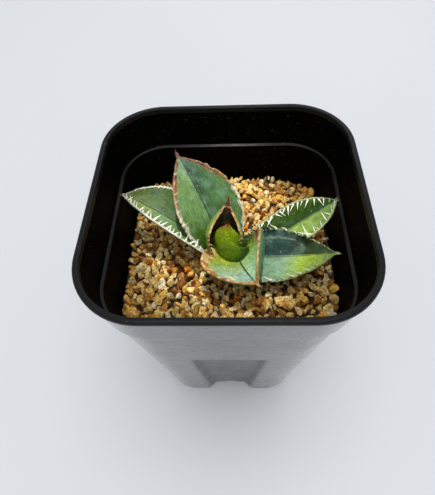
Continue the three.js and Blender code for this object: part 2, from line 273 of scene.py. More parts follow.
def relief(tree, shader, layers):
    """Chains bumps: each layer is a height and how many millimetres it stands."""
    normal = None
    for height, distance in layers:
        inputs = {"Height": height, "Distance": distance * MM, "Strength": 1.0}
        if normal is not None:
            inputs["Normal"] = normal
        normal = node_in(tree, "ShaderNodeBump", inputs).outputs[0]
    tree.links.new(normal, shader.inputs["Normal"])


def rgb(red, green, blue):
    """A screen colour, 0 to 255, as the linear colour that the shader takes."""
    def linear(c):
        c /= 255
        return c / 12.92 if c <= 0.04045 else ((c + 0.055) / 1.055) ** 2.4
    return (linear(red), linear(green), linear(blue), 1.0)


turns = []


def add_turn(profile, z, grow=0.0, press=0.0, grown=0.0):
    """Adds the next turn of the pot's skin: a half width and corner radius, both grown alike."""
    half, radius = profile
    turns.append(square_turn(half + grow, radius + grow, z, press, grown))


def step_at(z, share):
    """The pot's outline near the ledge, a share of the way from the body's to the collar's."""
    return tuple(mix(b, c, share) for b, c in zip(body_at(z), collar_at(z)))


def step_inside(z, share):
    return tuple(mix(c, b, share) for b, c in zip(body_at(z), collar_at(z)))


for z, grow in ((floor_rise, -0.3), (floor_rise - 0.3, 0), (0.3, 0), (0, 0.3)):
    add_turn((floor_half, floor_radius), z, grow)
body_rows = [(0, -0.5), (0.15, -0.15), (0.5, 0)]
body_rows += [(z, 0) for z in np.linspace(2, recess_top - 0.8, 22)]
for z, grow in body_rows:
    add_turn(body_at(z), z, grow, 1)
for rise, press in ((-0.4, 1), (-0.12, 0.93), (0, 0.75), (0.06, 0.35), (0.2, 0.1), (0.5, 0), (1.2, 0)):
    add_turn(body_at(recess_top + rise), recess_top + rise, press=press)
for z in np.linspace(recess_top + 6, ledge_height - 2, 7):
    add_turn(body_at(z), z)
for rise, share in ((-1.4, 0), (-1.2, 0.05), (-1.1, 0.3), (-1.0, 0.8), (-0.75, 0.97), (-0.4, 1)):
    add_turn(step_at(ledge_height + rise, share), ledge_height + rise)
for z in np.linspace(ledge_height + 1, bead_foot, 6):
    add_turn(collar_at(z), z)
bead_turns = len(turns)
for rise, grow in ((0.08, 0.2), (0.25, 0.6), (0.6, bead_proud), (1.3, bead_proud), (1.7, bead_proud - 0.15),
                   (1.93, bead_proud - 0.4), (2, bead_proud - 0.75), (2, -0.85), (1.93, -1.08), (1.7, -1.2)):
    add_turn(collar_at(bead_foot), bead_foot + rise, grow)
inside_turns = len(turns)
for z in np.linspace(bead_foot, ledge_height + 1, 6):
    add_turn(collar_at(z), z, -wall)
ledge_turns = len(turns)
for rise, share in ((0.55, 0), (0.42, 0.06), (0.3, 0.35), (0.12, 0.9), (-0.1, 1), (-0.5, 1)):
    add_turn(step_inside(ledge_height + rise, share), ledge_height + rise, -wall, 0, wall)
inner_rows = [(z, 0) for z in np.linspace(ledge_height - 4, recess_top + 3, 5)]
inner_rows += [(recess_top + wall + 0.3, 0), (recess_top + wall, 0.5), (recess_top + wall - 0.3, 1)]
inner_rows += [(z, 1) for z in np.linspace(recess_top - 2, floor_thickness, 14)]
for z, press in inner_rows:
    add_turn(body_at(z), z, -wall, press, wall)
raised = floor_half + floor_thickness, floor_radius + floor_thickness
for rise, grow in ((0, 0.4), (0.3, 0), (floor_rise - 0.3, 0), (floor_rise, -0.3)):
    add_turn(raised, floor_thickness + rise, grow)

pot_points, pot_faces = loft(turns)
pot_mesh = mesh_of("pot_shell", pot_points, pot_faces)
ring_size = len(turns[0])
# The inside, rim and recess slots take darker copies of the plastic: painted shade.
outside_slot, inside_shade_slot, rim_shade_slot, recess_shade_slot = range(4)
for face in pot_mesh.polygons:
    row = min(face.vertices) // ring_size
    on_ledge = ledge_turns + 1 <= row < ledge_turns + 3
    across, z = max(abs(face.center.x), abs(face.center.y)) / MM, face.center.z / MM
    beside = min(abs(face.center.x), abs(face.center.y)) / MM
    half, radius = body_at(z)
    in_recess = z < recess_top + 0.1 and across < half - 0.6 and beside < half - radius
    if row < bead_turns:
        face.material_index = recess_shade_slot if in_recess else outside_slot
    else:
        face.material_index = rim_shade_slot if row < inside_turns or on_ledge else inside_shade_slot
outward(pot_mesh)
pot = piece_of("pot_shell", pot_mesh)


def drain_cutter(radius, x, y):
    work = bmesh.new()
    bmesh.ops.create_cone(work, cap_ends=True, segments=32, radius1=radius * MM, radius2=radius * MM,
                          depth=0.02)
    bmesh.ops.translate(work, verts=work.verts, vec=(x * MM, y * MM, 0))
    return piece_of("drain", mesh_from(work, "drain"))


def notch_cutter(side, beyond=6):
    work = bmesh.new()
    bmesh.ops.create_cube(work, size=1)
    panel = foot_half - recess_depth_foot
    size = (notch_width, notch_reach + beyond, notch_height + beyond)
    middle = (0, panel + (beyond - notch_reach) / 2, (notch_height - beyond) / 2)
    for vert in work.verts:
        x, y, z = (c * s + m for c, s, m in zip(vert.co, size, middle))
        x, y = quarter_turn(side, x, y)
        vert.co = (x * MM, y * MM, z * MM)
    return piece_of("notch", mesh_from(work, "notch"))


cutters = [drain_cutter(drain_centre / 2, 0, 0)]
for hole in range(drain_holes):
    angle = (hole + 0.5) * 2 * math.pi / drain_holes
    x, y = drain_ring * math.cos(angle), drain_ring * math.sin(angle)
    cutters.append(drain_cutter(drain_diameter / 2, x, y))
cutters += [notch_cutter(side) for side in range(4)]


def black_plastic(name, dust, gloss, **sockets):
    """Moulded black plastic: fine orange peel, sideways handling scuffs and cloudy grey dust; a dust value
    under 22 also darkens the black itself, which the painted-shade copies use.
    """
    material, tree, shader = finish(name, **sockets)
    coords = place_coords(tree)
    black = rgb(*[min(22, dust)] * 3)
    streaks = grain(tree, place_coords(tree, (0.06, 0.06, 1.1)), 1.0, 6, 0.7)
    clouds = grain(tree, coords, 0.05, 5)
    specks = between(tree, grain(tree, coords, 1.3, 2, 0.4), 0.70, 0.76)
    film = maths(tree, "MULTIPLY", between(tree, clouds, 0.38, 0.7), between(tree, streaks, 0.4, 0.75))
    grey, pale = rgb(dust, dust, dust), rgb(120, 116, 106)
    colour = tint(tree, film, black, grey)
    colour = tint(tree, maths(tree, "MULTIPLY", specks, 0.35), colour, pale)
    tree.links.new(colour, shader.inputs["Base Color"])
    rough = maths(tree, "ADD", between(tree, clouds, 0.3, 0.7, gloss, gloss + 0.1),
                  between(tree, streaks, 0.45, 0.8, 0, 0.14))
    tree.links.new(rough, shader.inputs["Roughness"])
    relief(tree, shader, [(grain(tree, coords, 0.12, 2), 0.25), (grain(tree, coords, 2.4, 3), 0.01),
                          (streaks, 0.004)])
    return material


# The outside is the plastic as lit; the inside, rim and recess copies are painted shade, with less dust grey,
# a darker black and a weaker reflection.
for name, dust, gloss, sockets in (
        ("pot_outside", 38, 0.22, dict(IOR=1.68, Coat_Weight=0.9, Coat_IOR=1.5, Coat_Roughness=0.14)),
        ("pot_inside", 3, 0.5, dict(IOR=1.08)),
        ("pot_rim", 20, 0.3, dict(IOR=1.28)),
        ("pot_recess", 14, 0.22, dict(IOR=1.35, Coat_Weight=0.55, Coat_IOR=1.5, Coat_Roughness=0.12))):
    pot.data.materials.append(black_plastic(name, dust, gloss, **sockets))
cut_away(pot, cutters)
pot.data.shade_smooth()
pot.data.set_sharp_from_angle(angle=math.radians(50))
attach(pot, "root")
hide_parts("pot")

# ---- Grit ----
# Fired clay granules of about three millimetres, mixed with pumice and softer yellow and orange grains. A
# dark bed fills the pot, its browns painted shade for the gaps between the grains; three loose layers of
# grains lie over it.

headspace = 30
grit_level = pot_height - headspace
layer_drops = (0.2, 1.3, 2.5)
bed_top_from, bed_sunk = 0.07, 2.6
grain_seed, grain_room = 11, 1.7


def bed_height(x, y, half):
    """The bed's lie: heaped a little to the front right, falling away behind, with a low heap at the back."""
    heap = 3.2 * math.exp(-((x - 0.34 * half) ** 2 + (y - 0.9 * half) ** 2) / 12 ** 2)
    dish = 2.6 * math.exp(-((x - 1) ** 2 + (y + 5) ** 2) / 9 ** 2)
    back = min(max(y / half, 0), 1)
    tilt = 1.6 * x / half * (1 - 2 * back)
    return grit_level + tilt - 4 * back + heap - dish


packed_grit = frame["nodes"]["grit"].data.copy()
work = bmesh.new()
work.from_mesh(packed_grit)
bmesh.ops.remove_doubles(work, verts=work.verts, dist=1e-6)
for vert in work.verts:
    if vert.co.z > bed_top_from:
        vert.co.z -= bed_sunk * MM
work.to_mesh(packed_grit)
work.free()
packed_grit.materials.clear()
# The bed's dark browns are painted shade, seen in the gaps between the grains.
bed_painted_shade, tree, shader = finish("grit_bed_painted_shade", Roughness=0.95)
coords = place_coords(tree)
gap_shade = tint(tree, grain(tree, coords, 0.5), rgb(48, 34, 22), rgb(92, 66, 42))
tree.links.new(gap_shade, shader.inputs["Base Color"])
relief(tree, shader, [(grain(tree, coords, 0.9), 0.6)])
packed_grit.materials.append(bed_painted_shade)
bed = piece_of("grit_bed", packed_grit)
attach(bed, "root")
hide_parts("grit")


def pebble(seed, lumps, squash):
    """One granule of unit size: eighty faces, knocked into an uneven lump."""
    chance = np.random.default_rng(seed)
    work = bmesh.new()
    bmesh.ops.create_icosphere(work, subdivisions=2, radius=0.5)
    ways = [chance.normal(size=3) for _ in range(8)]
    flats = [(w / np.linalg.norm(w), chance.uniform(0.13, 0.34)) for w in ways]
    for vert in work.verts:
        at = np.array(vert.co)
        for way, reach in flats:
            beyond = at @ way - reach
            if beyond > 0:
                at = at - way * beyond * 0.98
        at *= 1 + lumps * chance.uniform(-1, 1)
        vert.co = at * np.array(squash)
    return mesh_from(work, "granule")


def set_inputs(modifier, tree, **values):
    for name, value in values.items():
        socket = next(s for s in tree.interface.items_tree
                      if s.name == name.replace("_", " ") and s.in_out == "INPUT")
        modifier[socket.identifier] = value


def open_tree(name, *sockets):
    """A node group with geometry in and out and the named inputs, and its inputs' sockets."""
    tree = bpy.data.node_groups.new(name, "GeometryNodeTree")
    tree.interface.new_socket("Geometry", in_out="INPUT", socket_type="NodeSocketGeometry")
    for label, kind, value in sockets:
        made = tree.interface.new_socket(label, in_out="INPUT", socket_type="NodeSocket" + kind)
        if value is not None:
            made.default_value = value
    tree.interface.new_socket("Geometry", in_out="OUTPUT", socket_type="NodeSocketGeometry")
    return tree, tree.nodes.new("NodeGroupInput").outputs


def close_tree(tree, geometry, material):
    done = node_in(tree, "GeometryNodeSetMaterial", {"Geometry": geometry, "Material": material})
    tree.links.new(done.outputs[0], tree.nodes.new("NodeGroupOutput").inputs[0])
    return tree


def make_scatter_tree():
    """Grains over the bed: points spread in layers, one pebble on each, turned and sized at random."""
    tree, given = open_tree(
        "scattered_grains", ("Pebbles", "Collection", None), ("Spacing", "Float", 0.002),
        ("Share Low", "Float", 0.0), ("Share High", "Float", 1.0), ("Smallest", "Float", 0.0027),
        ("Largest", "Float", 0.0035), ("Seed", "Int", 1), ("Grain Material", "Material", None))

    def chance(draw, low, high, kind="FLOAT"):
        """A random value at each point, each use with its own draw."""
        first = 0 if kind == "FLOAT_VECTOR" else 2
        seed = maths(tree, "ADD", given["Seed"], float(draw))
        made = node_in(tree, "FunctionNodeRandomValue", {first: low, first + 1: high, "Seed": seed},
                       data_type=kind)
        return made.outputs[first // 2]
    spread = node_in(tree, "GeometryNodeDistributePointsOnFaces", {
        "Mesh": given["Geometry"], "Distance Min": given["Spacing"], "Density Max": 400000.0,
        "Seed": given["Seed"]}, distribute_method="POISSON")
    kind = chance(5, 0.0, 1.0)
    keep = maths(tree, "MULTIPLY", maths(tree, "GREATER_THAN", kind, given["Share Low"]),
                 maths(tree, "LESS_THAN", kind, given["Share High"]))
    others = maths(tree, "LESS_THAN", keep, 0.5)
    chosen = node_in(tree, "GeometryNodeDeleteGeometry", {"Geometry": spread.outputs["Points"],
                                                          "Selection": others}, domain="POINT")
    lift = node_in(tree, "ShaderNodeCombineXYZ", {"Z": chance(6, -0.0005, 0.0005)}).outputs[0]
    lifted = node_in(tree, "GeometryNodeSetPosition", {"Geometry": chosen.outputs[0], "Offset": lift})
    pebbles = node_in(tree, "GeometryNodeCollectionInfo", {"Collection": given["Pebbles"],
                                                           "Separate Children": True, "Reset Children": True})
    placed = node_in(tree, "GeometryNodeInstanceOnPoints", {
        "Points": lifted.outputs[0], "Instance": pebbles.outputs[0], "Pick Instance": True,
        "Rotation": chance(7, (0, 0, 0), (6.283, 6.283, 6.283), "FLOAT_VECTOR"),
        "Scale": chance(8, given["Smallest"], given["Largest"])})
    toned = node_in(tree, "GeometryNodeStoreNamedAttribute", {
        "Geometry": placed.outputs[0], "Name": "tone", "Value": chance(9, 0.0, 1.0)}, domain="INSTANCE")
    real = node_in(tree, "GeometryNodeRealizeInstances", {"Geometry": toned.outputs[0]})
    return close_tree(tree, real.outputs[0], given["Grain Material"])


def grain_stone(name, tones, pits, rough):
    """Grain stone: each granule has its own tone, dusted and pitted."""
    material, tree, shader = finish(name, Roughness=rough, IOR=1.4)
    tone = node_in(tree, "ShaderNodeAttribute", attribute_name="tone").outputs["Fac"]
    ramp = node_in(tree, "ShaderNodeValToRGB", {"Fac": tone})
    for stop in tones[1:-1]:
        ramp.color_ramp.elements.new(stop[0])
    for element, (place, *colour) in zip(ramp.color_ramp.elements, tones):
        element.position, element.color = place, rgb(*colour)
    coords = place_coords(tree)
    dust = grain(tree, coords, 0.9, 5, 0.7)
    fine = grain(tree, coords, 3.2, 4, 0.7)
    colour = brighter(tree, ramp.outputs[0], between(tree, dust, 0.34, 0.66, 0.42, 1.45))
    colour = tint(tree, between(tree, fine, 0.42, 0.3, 0, pits), colour, rgb(70, 46, 26))
    tree.links.new(colour, shader.inputs["Base Color"])
    relief(tree, shader, [(dust, 0.6), (fine, 0.25)])
    return material


half_in, radius_in = (side - wall - grain_room for side in body_at(grit_level))
scatter_tree = make_scatter_tree()
pebble_bin = bpy.data.collections.new("pebbles")
for seed in range(8):
    chance = np.random.default_rng(seed + 40)
    squash = (1.1, chance.uniform(0.66, 0.95), chance.uniform(0.6, 0.9))
    stone = bpy.data.objects.new(f"granule_{seed}", pebble(seed + 60, 0.05, squash))
    pebble_bin.objects.link(stone)


def scatter_ground():
    """The three layers of the bed's surface, as grids cut to the pot's inside."""
    steps = 40
    points, faces = [], []
    for drop in layer_drops:
        start = len(points)
        for i in range(steps + 1):
            for j in range(steps + 1):
                x, y = (2 * i / steps - 1) * half_in, (2 * j / steps - 1) * half_in
                points.append((x, y, bed_height(x, y, half_in + 2) - drop))
        for i in range(steps):
            for j in range(steps):
                a = start + i * (steps + 1) + j
                middle = [(2 * (k + 0.5) / steps - 1) * half_in for k in (i, j)]
                corner = [max(abs(m) - (half_in - radius_in), 0) for m in middle]
                if math.hypot(*corner) < radius_in:
                    faces.append((a, a + steps + 1, a + steps + 2, a + 1))
    return mesh_of("ground", points, faces)


def scatter(name, low, high, size, material):
    ground = piece_of(name, scatter_ground())
    grow = ground.modifiers.new("grains", "NODES")
    grow.node_group = scatter_tree
    set_inputs(grow, scatter_tree, Pebbles=pebble_bin, Share_Low=low, Share_High=high, Seed=grain_seed,
               Smallest=size[0] * MM, Largest=size[1] * MM, Grain_Material=material)
    finished_mesh(ground)
    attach(ground, "root")
    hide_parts("grit")


for name, stone, tones, pits, rough, share, size in (
        ("clay_grains", "fired_clay", ((0, 130, 80, 28), (0.2, 206, 142, 60), (0.55, 252, 198, 96),
                                       (1, 255, 234, 160)), 0.8, 0.85, (0.0, 0.74), (2.5, 4.9)),
        ("pumice_grains", "pumice", ((0, 244, 204, 130), (0.5, 255, 226, 164), (1, 255, 240, 200)),
         0.4, 0.8, (0.74, 0.9), (2.5, 4.7)),
        ("pale_yellow_grains", "yellow_grains", ((0, 240, 200, 110), (0.6, 248, 222, 150), (1, 240, 186, 70)),
         0.35, 0.75, (0.9, 0.984), (2.5, 4.7)),
        ("orange_grains", "orange_grains", ((0, 226, 130, 10), (0.5, 246, 160, 16), (1, 252, 186, 40)),
         0.35, 0.75, (0.984, 1.0), (2.8, 4.7))):
    scatter(name, *share, size, grain_stone(stone, tones, pits, rough))
for stone in list(pebble_bin.objects):
    bpy.data.objects.remove(stone)
bpy.data.collections.remove(pebble_bin)

# ---- Stem and roots ----
# The short stem under the leaves and the roots in the grit grow as one: pale, fibrous and dry.

stem_bark, tree, shader = finish("stem_bark", Roughness=0.85)
coords = place_coords(tree, (1, 1, 0.15))
fibres = grain(tree, coords, 2.2, 5, 0.7)
tree.links.new(tint(tree, fibres, rgb(120, 88, 52), rgb(214, 190, 140)), shader.inputs["Base Color"])
relief(tree, shader, [(fibres, 0.2)])
stem = frame["nodes"]["stem_and_roots"]
for slot in stem.material_slots:
    slot.material = stem_bark

# ---- Young centre leaf ----
# The newest leaf, still curled inside the next one, so that only its back shows: soft bright
# yellow-green, with a yellow margin of small weak teeth. It is fixed to the top of the stem.

crown = np.array([1.0, -5.0, grit_level])
tip_half, margin_thickness, tip_thickness = 0.45, 0.8, 1.0
leaf_rows, leaf_half, spine_rows = 84, 20, 12


def heading(turn, rise):
    turn, rise = math.radians(turn), math.radians(rise)
    return np.array([math.cos(rise) * math.cos(turn), math.cos(rise) * math.sin(turn), math.sin(rise)])


def wobble(x, seed, knots):
    """A smooth random line between -1 and 1, for x from 0 to 1."""
    values = np.random.default_rng(seed).uniform(-1, 1, knots + 2)
    at = np.clip(np.asarray(x, float), 0, 1) * knots
    low = np.minimum(at.astype(int), knots)
    return mix(values[low], values[low + 1], smooth(at - low))


def midrib(leaf, rows):
    """Stations along the middle of a blade: place, along, across and up out of the face."""
    def axes(u):
        turn = leaf["heading"] + leaf["turn"] * u
        along = heading(turn, mix(*leaf["rise"], u))
        flat = heading(turn + 90, 0)
        roll = math.radians(mix(*leaf["roll"], u))
        across = flat * math.cos(roll) + np.cross(along, flat) * math.sin(roll)
        return along, across, np.cross(along, across)
    place = crown + np.array(leaf["foot"])
    stations = []
    for row in range(rows + 1):
        u = row / rows
        if row:
            place = place + axes(u - 0.5 / rows)[0] * leaf["length"] / rows
        stations.append((u, place, *axes(u)))
    return stations


def share_of_width(leaf, side, u):
    if u < leaf["widest"]:
        return mix(leaf["foot_share"], 1, math.sin(math.pi / 2 * u / leaf["widest"]))
    return 1 - ((u - leaf["widest"]) / (1 - leaf["widest"])) ** leaf["taper"][side]


def half_profile(leaf, side, station, v):
    """Face points of one half of a blade at a station, with the outward and upward ways at each."""
    u, place, along, across, up = station
    sign = (1, -1)[side]
    width = max(leaf["half_width"][side] * share_of_width(leaf, side, u), tip_half)
    fold = math.radians(leaf["fold"][side])
    curl = math.radians(leaf["curl"][side]) * min(1, width / 3)
    angle = fold + curl * v
    x = width * (np.sin(angle) - math.sin(fold)) / curl
    y = width * (math.cos(fold) - np.cos(angle)) / curl
    face = place + sign * x[:, None] * across + y[:, None] * up
    out = sign * np.cos(angle)[:, None] * across + np.sin(angle)[:, None] * up
    proud = -sign * np.sin(angle)[:, None] * across + np.cos(angle)[:, None] * up
    lean = angle * np.minimum(1, 2 * v)
    down = sign * np.sin(lean)[:, None] * across - np.cos(lean)[:, None] * up
    return width, face, out, proud, down


def tooth_places(leaf, side):
    """Where the teeth of a margin stand, as shares of the leaf's length, at uneven spacing."""
    first, last, spacing, _ = leaf["teeth"][side]
    chance = np.random.default_rng(leaf["seed"] + 10 * side + 1)
    places, u = [], first
    while u < last:
        places.append(u)
        u += spacing / leaf["length"] * chance.uniform(0.6, 1.45)
    return places


def blade(leaf):
    """The points, faces and skin coordinates of a leaf: a closed blade that runs out into its spine."""
    v = 1 - (1 - np.linspace(0, 1, leaf_half + 1)) ** 1.7
    seed = leaf["seed"]
    bumps = [tooth_places(leaf, side) for side in (0, 1)]
    plains, turns, along_at, side_at, edge_at, back_at, spine_at = [], [], [], [], [], [], []
    stations = midrib(leaf, leaf_rows)
    for station in stations:
        u, up = station[0], station[-1]
        thick = mix(leaf["thickness"], tip_thickness, u)
        parts = []
        for side in (0, 1):
            width, face, out, proud, down = half_profile(leaf, side, station, v)
            edge = (1 - v) * width
            room = min(1, width / 4)
            fray = leaf["fray"] * (wobble(u, seed + 3 + side, 46) + 0.6 * wobble(u, seed + 5 + side, 23))
            near = [math.exp(-((u - b) * leaf["length"] / 0.55) ** 2) for b in bumps[side]]
            fray += leaf["knob"] * (max(near, default=0) - 0.35)
            plain = face
            face = face + (fray * room * v ** 9)[:, None] * out
            lip = leaf["lip"] * smooth(1 - edge / leaf["band"][side])
            lip = lip * (1 + 0.5 * wobble(u, seed + 7 + side, 60))
            waves = np.sin(3 * math.pi * v + 5 * wobble(u, seed + 24 + side, 5))
            ripple = 0.16 * wobble(u, seed + 20 + side, 7) * np.sin(math.pi * v) + 0.07 * waves * v
            face = face + ((lip + ripple) * room)[:, None] * proud
            soft = 0.22 * np.exp(-(v * width / 0.5) ** 2) * room
            face = face + soft[:, None] * up
            depth = mix(thick, margin_thickness, v * v) * (0.55 + 0.45 * room)
            back = face + (depth + lip * room)[:, None] * down
            plain_back = plain + depth[:, None] * down
            middle = (face[-1] + back[-1]) / 2 + 0.3 * depth[-1] * out[-1]
            parts.append((face, back, middle, edge, plain, plain_back))
        (lf, lb, lm, le, lp, lq), (rf, rb, rm, re, rp, rq) = parts
        turns.append(np.vstack([lf[::-1], rf[1:], rm[None], rb[::-1], lb[1:], lm[None]]))
        plains.append(np.vstack([lp[::-1], rp[1:], rp[-1:], rq[::-1], lq[1:], lq[-1:]]))
        side_at.append(np.concatenate([v[::-1], -v[1:], [-1], -v[::-1], v[1:], [1]]))
        edge_at.append(np.concatenate([le[::-1], re[1:], [0], re[::-1], le[1:], [0]]))
        whole = np.ones(2 * leaf_half + 1)
        back_at.append(np.concatenate([whole * 0, [0.5], whole, [0.5]]))
        along_at.append(np.full(len(turns[-1]), u))
        spine_at.append(np.zeros(len(turns[-1])))
    spine = leaf["spine"]
    last, middle = turns[-1], stations[-1][1] - stations[-1][4] * tip_thickness / 2
    way, end = stations[-1][2], heading(spine["heading"], spine["rise"])
    place = middle
    for row in range(1, spine_rows + 1):
        t = row / spine_rows
        step = way * (1 - smooth(1.6 * t)) + end * (smooth(1.6 * t) + 0.001)
        place = place + step / np.linalg.norm(step) * spine["length"] / spine_rows
        girth = (1 - t) ** 0.8 * (1 + 0.25 * math.sin(math.pi * min(1, 2.2 * t)))
        turns.append(place + (last - middle) * max(girth, 0.02))
        plains.append(turns[-1])
        side_at.append(side_at[-1])
        edge_at.append(edge_at[-1] * 0)
        back_at.append(back_at[-1])
        along_at.append(np.ones(len(last)))
        spine_at.append(np.full(len(last), t))
    points, faces = loft([list(map(tuple, turn)) for turn in turns])
    skin = {name: np.concatenate(at + [[at[0][0], at[-1][0]]]) for name, at in (
        ("along", along_at), ("side", side_at), ("edge", edge_at), ("back", back_at), ("spine", spine_at))}
    plains = np.concatenate(plains + [[plains[0].mean(axis=0), plains[-1].mean(axis=0)]])
    return points, faces, plains, skin


def packed_tree(node):
    packed = frame["nodes"][node].data
    return BVHTree.FromPolygons([v.co for v in packed.vertices], [p.vertices for p in packed.polygons])


def settle(piece, plains, node, reach=0.25):
    """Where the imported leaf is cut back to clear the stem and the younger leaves, so is this one: points
    that lie further than reach from it are drawn just under its surface."""
    tree = packed_tree(node)
    for vert, plain in zip(piece.vertices, plains):
        plain = Vector(plain) * MM
        place, normal, _, away = tree.find_nearest(plain)
        if away > reach * MM:
            vert.co = place - normal * 0.3 * MM


def run(x, *stops):
    """Colours along x, from stops that each hold a place and a screen colour."""
    places, tones = [stop[0] for stop in stops], [rgb(*stop[1:]) for stop in stops]
    return np.stack([np.interp(x, places, [tone[c] for tone in tones]) for c in range(3)], axis=-1)


def over(under, colour, share):
    """Lays one colour, or a colour for each point, over the colours under it."""
    share = np.clip(share, 0, 1)[:, None]
    return under * (1 - share) + np.asarray(colour)[..., :3] * share


def either(choice, colours, others):
    return np.where(choice[:, None], colours, others)


def make_teeth_tree():
    """Hooked teeth: a curved six-sided cone on each point, rooted outwards and hooked over the face."""
    tree, given = open_tree(
        "hooked_teeth", ("Tooth Girth", "Float", 0.17), ("Tooth Hook", "Float", 0.5),
        ("Length Spread", "Float", 0.3), ("Seed", "Int", 1), ("Tooth Material", "Material", None))
    cone = node_in(tree, "GeometryNodeMeshCone", {"Vertices": 6, "Side Segments": 5, "Radius Top": 0.012,
                                                  "Radius Bottom": given["Tooth Girth"], "Depth": 1.0},
                   fill_type="TRIANGLE_FAN")
    place = node_in(tree, "GeometryNodeInputPosition").outputs[0]
    split = node_in(tree, "ShaderNodeSeparateXYZ", {0: place})
    bend = maths(tree, "MULTIPLY", maths(tree, "POWER", split.outputs[2], 2.0), given["Tooth Hook"])
    bent = node_in(tree, "GeometryNodeSetPosition", {
        "Geometry": cone.outputs["Mesh"],
        "Offset": node_in(tree, "ShaderNodeCombineXYZ", {"X": bend}).outputs[0]})
    marked = node_in(tree, "GeometryNodeStoreNamedAttribute", {"Geometry": bent.outputs[0], "Name": "reach",
                                                               "Value": split.outputs[2]})

    def named(name, kind):
        made = node_in(tree, "GeometryNodeInputNamedAttribute", {"Name": name}, data_type=kind)
        return made.outputs[0]
    turned = node_in(tree, "FunctionNodeAxesToRotation", {
        "Primary Axis": named("root_way", "FLOAT_VECTOR"),
        "Secondary Axis": named("hook_way", "FLOAT_VECTOR")}, primary_axis="Z", secondary_axis="X")
    spread = node_in(tree, "FunctionNodeRandomValue", {
        2: maths(tree, "SUBTRACT", 1.0, given["Length Spread"]),
        3: maths(tree, "ADD", 1.0, given["Length Spread"]), "Seed": given["Seed"]}, data_type="FLOAT")
    size = maths(tree, "MULTIPLY", named("tooth_length", "FLOAT"), spread.outputs[1])
    placed = node_in(tree, "GeometryNodeInstanceOnPoints", {
        "Points": given["Geometry"], "Instance": marked.outputs[0], "Rotation": turned.outputs[0],
        "Scale": size})
    real = node_in(tree, "GeometryNodeRealizeInstances", {"Geometry": placed.outputs[0]})
    soft = node_in(tree, "GeometryNodeSetShadeSmooth", {"Geometry": real.outputs[0]})
    return close_tree(tree, soft.outputs[0], given["Tooth Material"])


teeth_tree = make_teeth_tree()


def teeth_of(name, leaf, horn):
    """All the teeth of a leaf as one mesh, where its margin isn't hidden under a younger leaf."""
    places, roots, hooks, lengths = [], [], [], []
    margin = packed_tree(name)
    stations = midrib(leaf, 200)
    chance = np.random.default_rng(leaf["seed"] + 50)
    for side in (0, 1):
        for u in tooth_places(leaf, side):
            length = leaf["teeth"][side][3]
            station = stations[int(round(u * 200))]
            width, face, out, proud, _ = half_profile(leaf, side, station, np.array([0.9, 1.0]))
            if margin.find_nearest(Vector(face[1]) * MM)[3] > 0.3 * MM:
                continue
            lean = chance.uniform(*leaf["tooth_lean"])
            root = leaf["tooth_out"] * out[1] + 0.7 * proud[1] + 0.25 * lean * station[2]
            hook = -0.7 * out[1] + 0.3 * proud[1] + lean * station[2]
            places.append(face[1] - 0.25 * out[1] - 0.1 * proud[1])
            roots.append(root / np.linalg.norm(root))
            hooks.append(hook / np.linalg.norm(hook))
            lengths.append(length * min(1, width / 3.0) * chance.uniform(0.75, 1.2))
    mesh = mesh_of(name + "_tooth_roots", places, [])
    for label, kind, values in (("root_way", "FLOAT_VECTOR", roots), ("hook_way", "FLOAT_VECTOR", hooks),
                                ("tooth_length", "FLOAT", [n * MM for n in lengths])):
        made = mesh.attributes.new(label, kind, "POINT")
        made.data.foreach_set("value" if kind == "FLOAT" else "vector", np.ravel(values))
    seat = piece_of(name + "_teeth", mesh)
    grow = seat.modifiers.new("teeth", "NODES")
    grow.node_group = teeth_tree
    set_inputs(grow, teeth_tree, Tooth_Girth=leaf["tooth_girth"], Tooth_Hook=leaf["tooth_hook"],
               Seed=leaf["seed"], Tooth_Material=horn)
    finished_mesh(seat)
    made = seat.data
    bpy.data.objects.remove(seat)
    return made


def horn(name, root, tip):
    """Tooth and spine horn, from a paler root to its tip, a little streaked along."""
    material, tree, shader = finish(name, Roughness=0.5)
    reach = node_in(tree, "ShaderNodeAttribute", attribute_name="reach").outputs["Fac"]
    coords = place_coords(tree)
    share = maths(tree, "ADD", between(tree, reach, 0.35, 1.0), maths(
        tree, "MULTIPLY", maths(tree, "SUBTRACT", grain(tree, coords, 1.2), 0.5), 0.9))
    tree.links.new(tint(tree, share, root, tip), shader.inputs["Base Color"])
    relief(tree, shader, [(grain(tree, coords, 4), 0.03)])
    return material


